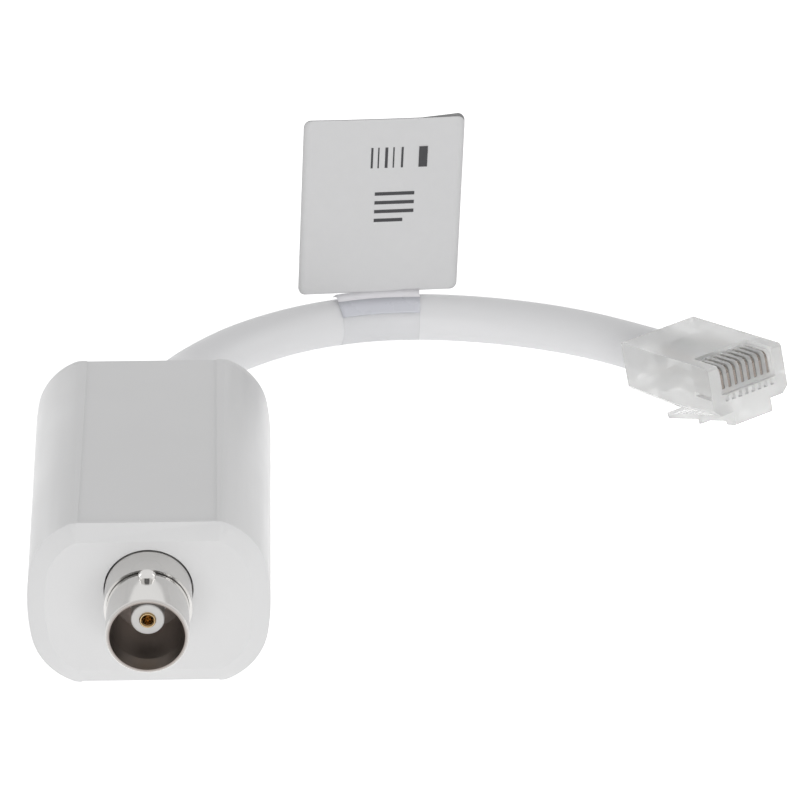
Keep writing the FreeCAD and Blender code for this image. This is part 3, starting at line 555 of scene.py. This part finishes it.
def stretch_of(section, first, last):
    """The part of a section between two distances from its start."""
    points = [Vector(point) for point in section]
    kept = []
    travelled = 0.0
    for before, after in zip(points, points[1:]):
        step = (after - before).length
        for wanted in (first, last):
            if travelled <= wanted < travelled + step:
                kept.append(before.lerp(after, (wanted - travelled) / step))
        travelled += step
        if first < travelled < last:
            kept.append(after)
    return [tuple(point) for point in kept]


def add_band(name, points, nearest, sizes, material, *sections):
    """A layer of the label's wrap, its sections carried along the cable's own line."""
    reach = sizes.band_width / 2
    line = []
    travelled = [0.0]
    for index in range(1, len(points)):
        travelled.append(travelled[-1] + (points[index] - points[index - 1]).length)
    centre = travelled[nearest] + sizes.leaf_shift
    steps = 16
    for step in range(steps + 1):
        wanted = centre - reach + 2 * reach * step / steps
        after = next(index for index, far in enumerate(travelled) if far >= wanted)
        share = (wanted - travelled[after - 1]) / (travelled[after] - travelled[after - 1])
        line.append(points[after - 1].lerp(points[after], share))
    vertices = []
    faces = []
    for section in sections:
        first = len(vertices)
        for index, spot in enumerate(line):
            before = line[max(index - 1, 0)]
            after = line[min(index + 1, steps)]
            along = (after - before).normalized()
            across = Vector((0, 0, 1)).cross(along).normalized()
            up = along.cross(across)
            vertices += [spot + across * y + up * z for y, z in section]
        count = len(section)
        for ring in range(steps):
            for index in range(count - 1):
                start = first + ring * count + index
                faces.append((start, start + 1, start + count + 1, start + count))
    band = mesh_piece(name, vertices, faces, material)
    layer = band.modifiers.new("Layer", "SOLIDIFY")
    layer.thickness = sizes.sheet
    layer.offset = 0.0
    return band


def add_marks(name, place, sizes, material, depth):
    """A few plain bars, in two groups, printed near the right-hand side of the leaf."""
    bars = [(x, UPRIGHT_MIDDLE, width, UPRIGHT_HEIGHT) for x, width in UPRIGHT_BARS]
    bars += [(width / 2 + FLAT_START, z, width, FLAT_THICKNESS) for z, width in FLAT_BARS]
    foot = leaf_foot(sizes, depth)
    vertices = []
    faces = []
    for x, z, width, height in bars:
        start = len(vertices)
        for side, up in ((-0.5, -0.5), (0.5, -0.5), (0.5, 0.5), (-0.5, 0.5)):
            vertices.append(place @ foot @ Vector((x + side * width, 0.0, z + up * height)))
        faces.append((start, start + 1, start + 2, start + 3))
    return mesh_piece(name, vertices, faces, material, smooth=False)


class CONVERTER_OT_label(bpy.types.Operator):
    """Fold the flag label round the cable"""

    bl_idname = "converter.label"
    bl_label = "Flag label"

    def execute(self, context):
        # How dark the back layer's paper is painted on its side facing the front layer and on its edges, as
        # painted shade between the two layers, and how far the layers lie out, counted in sheets
        shade = 0.35
        paper_layer = 0.6
        print_layer = 1.25
        under_layer = 0.6
        outer_layer = 1.8
        sizes = context.scene.converter_sizes
        colours = context.scene.converter_colours
        cable = bpy.data.objects["network_cable"]
        place, points, nearest = label_place(cable)
        paper = laminated_paper("label paper", colours.paper)
        # A darkened copy of the label paper: painted shade for the back layer's inner side and edges
        inside = laminated_paper("label inner side painted shade", tuple(part * shade for part in colours.paper))
        # The neck's paper is lighter than the leaf's paper: painted light against the leaf's shade
        pale = laminated_paper("label neck paper with painted light", colours.neck)
        film = clear_film("label film", colours.band, cover=0.08)
        double = clear_film("label overlap film", colours.overlap, cover=0.9)
        print_ink = moulded_plastic(
            "label print", colours.mark, grains=3000.0, rough=(0.4, 0.5), relief=0.000002, depth=0.1,
        )
        gap = sizes.sheet
        front = add_leaf("label_front", place, sizes, paper, -gap * paper_layer)
        # The back layer's side facing the front layer and its edges get the darkened paper, as painted
        # shade; its other side gets the plain paper
        rear = add_leaf("label_back", place, sizes, inside, gap * paper_layer, sizes.corner_lift)
        rear.data.materials.append(paper)
        rear.modifiers["Layer"].material_offset = 1
        band = add_band("label_band", points, nearest, sizes, film, wrap_section(sizes, under_layer))
        outer = wrap_section(sizes, outer_layer)
        seen = stretch_of(outer, 0.0, sizes.neck)
        behind = [(-y, z) for y, z in reversed(seen)]
        neck = add_band("label_neck", points, nearest, sizes, pale, seen, behind)
        overlap = add_band(
            "label_overlap", points, nearest, sizes, double, stretch_of(outer, sizes.neck, sizes.overlap),
        )
        marks = add_marks("label_marks", place, sizes, print_ink, -gap * print_layer)
        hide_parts("flag_label")
        return {"FINISHED"}


class CONVERTER_OT_plug(bpy.types.Operator):
    """Finish the clear plug with its contacts and conductors"""

    bl_idname = "converter.plug"
    bl_label = "Clear plug"

    def execute(self, context):
        colours = context.scene.converter_colours
        repaint(["plug_body"], clear_plastic("clear plug plastic", colours.plug))
        soften_edges("plug_body", context.scene.converter_sizes.plug_edge)
        contacts = [f"plug_contact_{index}" for index in range(1, 9)]
        # The contacts' colour is their plating darkened as painted shade of the slots
        repaint(contacts, plated_contact("contact plate with painted slot shade", colours.contact))
        sleeves = {name: moulded_plastic(f"{name} insulation", tone) for name, tone in INSULATION.items()}
        for index, name in enumerate(CONDUCTORS, start=1):
            repaint([f"plug_wire_{index}", f"inner_lead_{index}"], sleeves[name])
        return {"FINISHED"}


class CONVERTER_OT_inside(bpy.types.Operator):
    """Finish the circuit board, its components and the strap"""

    bl_idname = "converter.inside"
    bl_label = "Inside"

    def execute(self, context):
        colours = context.scene.converter_colours
        board = moulded_plastic(
            "solder mask", colours.board, grains=1800.0, rough=(0.22, 0.34), relief=0.000012, depth=0.25,
        )
        epoxy = moulded_plastic(
            "chip epoxy", colours.chip, grains=3400.0, rough=(0.5, 0.65), relief=0.000012, depth=0.3,
        )
        can = turned_metal("drawn can", colours.can, rough=(0.25, 0.36))
        nylon = moulded_plastic("strap nylon", colours.strap, grains=1600.0, rough=(0.35, 0.5), depth=0.04)
        repaint(["circuit_board"], board)
        repaint(
            ["line_transformer", "surge_arrester", "choke", "modem_chip", "power_chip",
             "bridge_rectifier_1", "bridge_rectifier_2"],
            epoxy,
        )
        repaint(["crystal", "electrolytic_capacitor_1", "electrolytic_capacitor_2"], can)
        repaint(["cable_tie"], nylon)
        return {"FINISHED"}


def add_lamp(name, place, size, power):
    """A soft white area lamp that faces the object."""
    data = bpy.data.lights.new(name, "AREA")
    data.shape = "RECTANGLE"
    data.size, data.size_y = size
    data.energy = power
    lamp = bpy.data.objects.new(name, data)
    lamp.location = place
    lamp.rotation_mode = "QUATERNION"
    lamp.rotation_quaternion = (Vector(LAMP_TARGET) - Vector(place)).to_track_quat("-Z", "Y")
    bpy.context.scene.collection.objects.link(lamp)


def seen_directly(tree):
    """1 for rays that show the background itself: camera, mirror and clear rays."""
    path = tree.nodes.new("ShaderNodeLightPath")
    first = tree.nodes.new("ShaderNodeMath")
    first.operation = "MAXIMUM"
    second = tree.nodes.new("ShaderNodeMath")
    second.operation = "MAXIMUM"
    tree.links.new(path.outputs["Is Camera Ray"], first.inputs[0])
    tree.links.new(path.outputs["Is Glossy Ray"], first.inputs[1])
    tree.links.new(first.outputs["Value"], second.inputs[0])
    tree.links.new(path.outputs["Is Transmission Ray"], second.inputs[1])
    return second.outputs["Value"]


def stage_quad(name, corners, material):
    """One flat face of the stage."""
    mesh = bpy.data.meshes.new(name)
    mesh.from_pydata(corners, [], [(0, 1, 2, 3)])
    mesh.materials.append(material)
    quad = bpy.data.objects.new(name, mesh)
    bpy.context.scene.collection.objects.link(quad)
    return quad


class CONVERTER_OT_stage(bpy.types.Operator):
    """Add the pale light table, the white surroundings and the soft lamps"""

    bl_idname = "converter.stage"
    bl_label = "Stage"

    def execute(self, context):
        self.add_floor(context)
        self.add_world(context)
        self.add_card()
        for lamp in LAMPS:
            add_lamp(*lamp)
        context.scene.view_settings.view_transform = "Standard"
        return {"FINISHED"}

    def add_floor(self, context):
        """A pale table that glows faintly, and shows as white where it is seen directly."""
        material = bpy.data.materials.new("pale floor")
        material.use_nodes = True
        tree = material.node_tree
        tree.nodes.clear()
        output = tree.nodes.new("ShaderNodeOutputMaterial")
        matt = tree.nodes.new("ShaderNodeBsdfDiffuse")
        matt.inputs["Color"].default_value = (*context.scene.converter_colours.floor, 1.0)
        glow = tree.nodes.new("ShaderNodeEmission")
        strength = tree.nodes.new("ShaderNodeMath")
        strength.operation = "MULTIPLY_ADD"
        strength.inputs[1].default_value = TABLE_SEEN
        strength.inputs[2].default_value = TABLE_GLOW
        both = tree.nodes.new("ShaderNodeAddShader")
        tree.links.new(seen_directly(tree), strength.inputs[0])
        tree.links.new(strength.outputs["Value"], glow.inputs["Strength"])
        tree.links.new(matt.outputs["BSDF"], both.inputs[0])
        tree.links.new(glow.outputs["Emission"], both.inputs[1])
        tree.links.new(both.outputs["Shader"], output.inputs["Surface"])
        # Half the table's width, and its height, just under the object
        far = 3.0
        low = -0.00002
        corners = [(-far, -far, low), (far, -far, low), (far, far, low), (-far, far, low)]
        stage_quad("floor", corners, material)

    def add_world(self, context):
        """Surroundings that are white where they are seen directly, and light the object less."""
        world = bpy.data.worlds.new("white surroundings")
        world.use_nodes = True
        tree = world.node_tree
        tree.nodes.clear()
        output = tree.nodes.new("ShaderNodeOutputWorld")
        seen = tree.nodes.new("ShaderNodeBackground")
        seen.inputs["Color"].default_value = (1, 1, 1, 1)
        light = tree.nodes.new("ShaderNodeBackground")
        light.inputs["Color"].default_value = (1, 1, 1, 1)
        light.inputs["Strength"].default_value = SURROUNDINGS_LIGHT
        choice = tree.nodes.new("ShaderNodeMixShader")
        tree.links.new(seen_directly(tree), choice.inputs["Fac"])
        tree.links.new(light.outputs["Background"], choice.inputs[1])
        tree.links.new(seen.outputs["Background"], choice.inputs[2])
        tree.links.new(choice.outputs["Shader"], output.inputs["Surface"])
        context.scene.world = world

    def add_card(self):
        """A grey card on the viewer's side, which only smooth surfaces show."""
        material, tree, shader = start_material("grey card")
        shader.inputs["Base Color"].default_value = (0.3, 0.3, 0.3, 1)
        shader.inputs["Roughness"].default_value = 0.9
        corners = [(-1.2, -1.5, 0.1), (1.2, -1.5, 0.1), (1.2, -1.5, 1.6), (-1.2, -1.5, 1.6)]
        card = stage_quad("grey_card", corners, material)
        card.visible_camera = False
        card.visible_diffuse = False
        card.visible_shadow = False


class CONVERTER_PT_panel(bpy.types.Panel):
    """The converter's pieces, sizes and colours"""

    bl_idname = "CONVERTER_PT_panel"
    bl_label = "Converter"
    bl_space_type = "VIEW_3D"
    bl_region_type = "UI"
    bl_category = "Converter"

    def draw(self, context):
        for operator in STEPS:
            self.layout.operator(operator.bl_idname)
        for group in (context.scene.converter_sizes, context.scene.converter_colours):
            box = self.layout.box()
            for name in group.__annotations__:
                box.prop(group, name)


STEPS = (
    CONVERTER_OT_camera,
    CONVERTER_OT_cable,
    CONVERTER_OT_housing,
    CONVERTER_OT_jack,
    CONVERTER_OT_label,
    CONVERTER_OT_plug,
    CONVERTER_OT_inside,
    CONVERTER_OT_stage,
)
CLASSES = (ConverterSizes, ConverterColours, *STEPS, CONVERTER_PT_panel)


def register():
    """Add the classes, and the sizes and colours of the scene."""
    for item in CLASSES:
        bpy.utils.register_class(item)
    bpy.types.Scene.converter_sizes = PointerProperty(type=ConverterSizes)
    bpy.types.Scene.converter_colours = PointerProperty(type=ConverterColours)


def unregister():
    """Take them away again."""
    del bpy.types.Scene.converter_colours
    del bpy.types.Scene.converter_sizes
    for item in reversed(CLASSES):
        bpy.utils.unregister_class(item)


def main():
    register()
    bpy.ops.converter.camera()
    bpy.ops.converter.cable()
    bpy.ops.converter.housing()
    bpy.ops.converter.jack()
    bpy.ops.converter.label()
    bpy.ops.converter.plug()
    bpy.ops.converter.inside()
    bpy.ops.converter.stage()
    on_cable = ["label_front", "label_back", "label_band", "label_neck", "label_overlap", "label_marks"]
    on_cable.append("plug_body")
    on_cable += [f"plug_contact_{index}" for index in range(1, 9)]
    on_cable += [f"plug_wire_{index}" for index in range(1, 9)]


if __name__ == "__main__":
    main()
